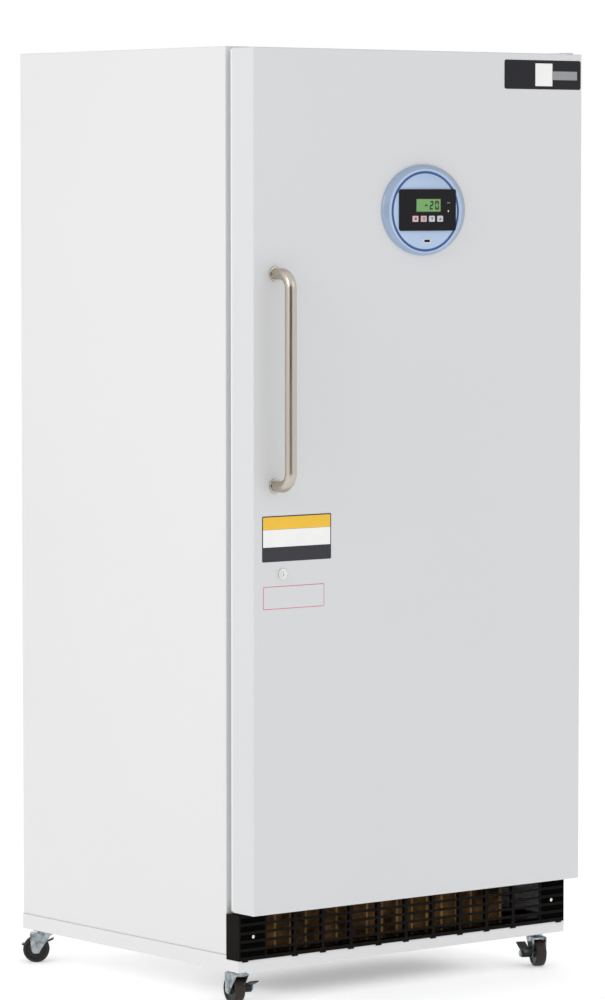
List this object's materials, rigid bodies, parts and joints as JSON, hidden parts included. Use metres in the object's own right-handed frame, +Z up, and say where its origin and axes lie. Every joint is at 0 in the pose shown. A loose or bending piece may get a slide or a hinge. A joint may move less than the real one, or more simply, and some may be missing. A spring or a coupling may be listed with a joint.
{
  "type": "laboratory freezer",
  "caption": "Upright laboratory freezer with a round control panel, bar handle, dark base grille and swivel casters; door, lock, buttons, fans and casters move.",
  "frame": {"origin": "centre of the footprint of the whole freezer, handle and grille included, on the floor", "axes": "+X to the right seen from the front, +Y from the door towards the back, +Z up"},
  "size_m": [0.9462, 0.9556, 2.057],
  "materials": {
    "cabinet_paint": "light grey-white paint, satin",
    "base_paint": "light grey-white paint, satin",
    "door_paint": "light grey-white paint, satin",
    "foam": "closed-cell foam, dull",
    "liner_white": "smooth white",
    "breaker_white": "satin white",
    "galvanised": "galvanised sheet, dull",
    "grille_plastic": "dark brown-black moulded plastic, satin",
    "screw_steel": "plated, satin",
    "hinge_steel": "satin paint",
    "sleeve_plastic": "smooth white",
    "black_plastic": "satin black",
    "copper": "drawn copper tube, slightly dulled",
    "fin_aluminium": "rolled fin stock",
    "fan_plastic": "moulded, satin",
    "black_steel": "black paint, satin",
    "rubber": "matt",
    "evaporator_metal": "stucco sheet, satin",
    "shelf_metal": "white coated wire",
    "gasket": "soft grey, matt",
    "bush_plastic": "low-friction plastic",
    "handle_steel": "polished",
    "lock_chrome": "polished",
    "bezel_blue": "pale blue, satin gloss",
    "controller_black": "fine-grained, satin",
    "display_green": "grey-green liquid-crystal window",
    "button_red": "soft red-grey keypad",
    "button_grey": "soft grey keypad",
    "port_white": "satin white",
    "caster_zinc": "zinc plated",
    "wheel_black": "hard rubber, satin",
    "lever_black": "satin black"
  },
  "bodies": {
    "cabinet": {"outer_cabinet": "cabinet_paint", "side_insulation_left": "foam", "side_insulation_right": "foam", "floor_insulation": "foam", "back_insulation": "foam", "top_insulation": "foam", "inner_liner": "liner_white", "breaker_frame": "breaker_white", "back_panel": "galvanised", "rear_cover": "galvanised", "base_frame": "base_paint", "grille": "grille_plastic", "grille_screws": "screw_steel", "hinge_brackets": "hinge_steel", "probe_sleeve": "sleeve_plastic", "cord_gland": "black_plastic", "condenser_coil": "copper", "condenser_fins": "fin_aluminium", "fan_shroud": "galvanised", "fan_motor": "black_steel", "compressor": "black_steel", "compressor_mounts": "rubber", "refrigerant_lines": "copper", "evaporator_cover": "evaporator_metal", "shelf_pilasters": "shelf_metal", "caster_mounts": "caster_zinc", "shelf_1": "shelf_metal", "shelf_2": "shelf_metal", "shelf_3": "shelf_metal", "shelf_4": "shelf_metal"},
    "condenser_fan": {"condenser_fan": "fan_plastic"},
    "evaporator_fan": {"evaporator_fan": "fan_plastic"},
    "door": {"door_skin": "door_paint", "door_insulation": "foam", "door_liner": "liner_white", "door_gasket": "gasket", "hinge_bushes": "bush_plastic", "door_handle": "handle_steel", "lock_body": "lock_chrome", "controller_bezel": "bezel_blue", "controller_housing": "controller_black", "display_window": "display_green", "data_port": "port_white"},
    "door_lock": {"lock_cylinder": "lock_chrome"},
    "button_1": {"controller_button_1": "button_red"},
    "button_2": {"controller_button_2": "button_red"},
    "button_3": {"controller_button_3": "button_grey"},
    "button_4": {"controller_button_4": "button_grey"},
    "fork_front_left": {"caster_fork_front_left": "caster_zinc"},
    "wheel_front_left": {"caster_wheel_front_left": "wheel_black"},
    "brake_front_left": {"caster_brake_front_left": "lever_black"},
    "fork_front_right": {"caster_fork_front_right": "caster_zinc"},
    "wheel_front_right": {"caster_wheel_front_right": "wheel_black"},
    "brake_front_right": {"caster_brake_front_right": "lever_black"},
    "fork_back_left": {"caster_fork_back_left": "caster_zinc"},
    "wheel_back_left": {"caster_wheel_back_left": "wheel_black"},
    "brake_back_left": {"caster_brake_back_left": "lever_black"},
    "fork_back_right": {"caster_fork_back_right": "caster_zinc"},
    "wheel_back_right": {"caster_wheel_back_right": "wheel_black"},
    "brake_back_right": {"caster_brake_back_right": "lever_black"}
  },
  "joints": [
    {"name": "door_hinge", "type": "hinge", "parent": "cabinet", "child": "door", "pos_m": [0.44748, -0.37432, 0.206], "axis": [0, 0, 1], "range_deg": [0, 110]},
    {"name": "lock_turn", "type": "hinge", "parent": "door", "child": "door_lock", "pos_m": [-0.38852, -0.41032, 0.935], "axis": [0, 1, 0], "range_deg": [0, 90]},
    {"name": "button_1_press", "type": "slide", "parent": "door", "child": "button_1", "axis": [0, 1, 0], "range_m": [0, 0.0012], "stiffness_N_per_m": 400, "springref_m": -0.0005},
    {"name": "button_2_press", "type": "slide", "parent": "door", "child": "button_2", "axis": [0, 1, 0], "range_m": [0, 0.0012], "stiffness_N_per_m": 400, "springref_m": -0.0005},
    {"name": "button_3_press", "type": "slide", "parent": "door", "child": "button_3", "axis": [0, 1, 0], "range_m": [0, 0.0012], "stiffness_N_per_m": 400, "springref_m": -0.0005},
    {"name": "button_4_press", "type": "slide", "parent": "door", "child": "button_4", "axis": [0, 1, 0], "range_m": [0, 0.0012], "stiffness_N_per_m": 400, "springref_m": -0.0005},
    {"name": "condenser_fan_spin", "type": "hinge", "parent": "cabinet", "child": "condenser_fan", "pos_m": [-0.06252, -0.24882, 0.137], "axis": [0, 1, 0], "continuous": true},
    {"name": "evaporator_fan_spin", "type": "hinge", "parent": "cabinet", "child": "evaporator_fan", "pos_m": [-0.00252, 0.18268, 1.916], "axis": [0, 1, 0], "continuous": true},
    {"name": "swivel_front_left", "type": "hinge", "parent": "cabinet", "child": "fork_front_left", "pos_m": [-0.42652, -0.30732, 0.0716], "axis": [0, 0, 1], "continuous": true},
    {"name": "roll_front_left", "type": "hinge", "parent": "fork_front_left", "child": "wheel_front_left", "pos_m": [-0.42374, -0.28751, 0.03], "axis": [-0.9903, 0.1392, 0], "continuous": true},
    {"name": "brake_front_left", "type": "hinge", "parent": "fork_front_left", "child": "brake_front_left", "pos_m": [-0.42374, -0.28751, 0.03], "axis": [-0.9903, 0.1392, 0], "range_deg": [-18, 0]},
    {"name": "swivel_front_right", "type": "hinge", "parent": "cabinet", "child": "fork_front_right", "pos_m": [0.42148, -0.30732, 0.0716], "axis": [0, 0, 1], "continuous": true},
    {"name": "roll_front_right", "type": "hinge", "parent": "fork_front_right", "child": "wheel_front_right", "pos_m": [0.41398, -0.32586, 0.03], "axis": [0.9272, -0.3746, 0], "continuous": true},
    {"name": "brake_front_right", "type": "hinge", "parent": "fork_front_right", "child": "brake_front_right", "pos_m": [0.41398, -0.32586, 0.03], "axis": [0.9272, -0.3746, 0], "range_deg": [-18, 0]},
    {"name": "swivel_back_left", "type": "hinge", "parent": "cabinet", "child": "fork_back_left", "pos_m": [-0.42652, 0.41368, 0.0716], "axis": [0, 0, 1], "continuous": true},
    {"name": "roll_back_left", "type": "hinge", "parent": "fork_back_left", "child": "wheel_back_left", "pos_m": [-0.44218, 0.42613, 0.03], "axis": [-0.6225, -0.7826, 0], "continuous": true},
    {"name": "brake_back_left", "type": "hinge", "parent": "fork_back_left", "child": "brake_back_left", "pos_m": [-0.44218, 0.42613, 0.03], "axis": [-0.6225, -0.7826, 0], "range_deg": [-18, 0]},
    {"name": "swivel_back_right", "type": "hinge", "parent": "cabinet", "child": "fork_back_right", "pos_m": [0.42148, 0.41368, 0.0716], "axis": [0, 0, 1], "continuous": true},
    {"name": "roll_back_right", "type": "hinge", "parent": "fork_back_right", "child": "wheel_back_right", "pos_m": [0.42665, 0.433, 0.03], "axis": [-0.9659, 0.2588, 0], "continuous": true},
    {"name": "brake_back_right", "type": "hinge", "parent": "fork_back_right", "child": "brake_back_right", "pos_m": [0.42665, 0.433, 0.03], "axis": [-0.9659, 0.2588, 0], "range_deg": [-18, 0]}
  ]
}
